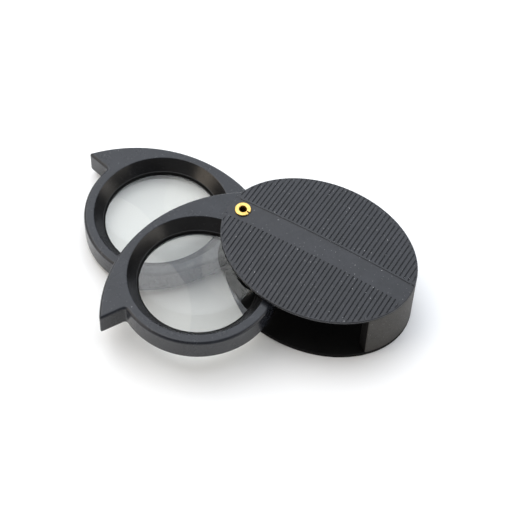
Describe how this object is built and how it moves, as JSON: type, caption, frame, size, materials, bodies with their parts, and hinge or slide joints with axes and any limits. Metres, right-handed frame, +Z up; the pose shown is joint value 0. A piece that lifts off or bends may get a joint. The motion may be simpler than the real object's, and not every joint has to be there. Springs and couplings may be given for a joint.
{
  "type": "folding pocket loupe",
  "caption": "Folding pocket loupe: hooked lens arms swing out of a flat oval ribbed case about a hollow brass eyelet.",
  "frame": {"origin": "on the eyelet's axis, in the plane of the case's underside", "axes": "+Z up along the eyelet, +X along the smooth band from the eyelet to the wall end of the case"},
  "size_m": [0.0944, 0.0647, 0.0175],
  "materials": {
    "case_plastic": "moulded, finely ribbed, slightly dusty charcoal black",
    "arm_plastic": "satin charcoal black with glossy bevels",
    "keeper_plastic": "gloss black",
    "washer_fibre": "smooth, pale grey",
    "eyelet_brass": "polished, rolled over",
    "lens_glass": "clear, polished",
    "plate_plastic": "smooth near-black moulding, satin ribbed underside"
  },
  "bodies": {
    "case": {"base_plate": "plate_plastic", "case_shell": "case_plastic", "eyelet": "eyelet_brass", "base_washer": "washer_fibre"},
    "upper_lens_arm": {"upper_arm": "arm_plastic", "upper_lens": "lens_glass", "upper_lens_keeper": "keeper_plastic", "cover_washer": "washer_fibre"},
    "lower_lens_arm": {"lower_arm": "arm_plastic", "lower_lens": "lens_glass", "lower_lens_keeper": "keeper_plastic", "middle_washer": "washer_fibre"}
  },
  "joints": [
    {"name": "upper_arm_swing", "type": "hinge", "parent": "case", "child": "upper_lens_arm", "pos_m": [0, 0, 0.0113], "axis": [0, 0, 1], "range_deg": [-228.3, 90.2]},
    {"name": "lower_arm_swing", "type": "hinge", "parent": "case", "child": "lower_lens_arm", "pos_m": [0, 0, 0.0047], "axis": [0, 0, 1], "range_deg": [-155.5, 163]}
  ]
}
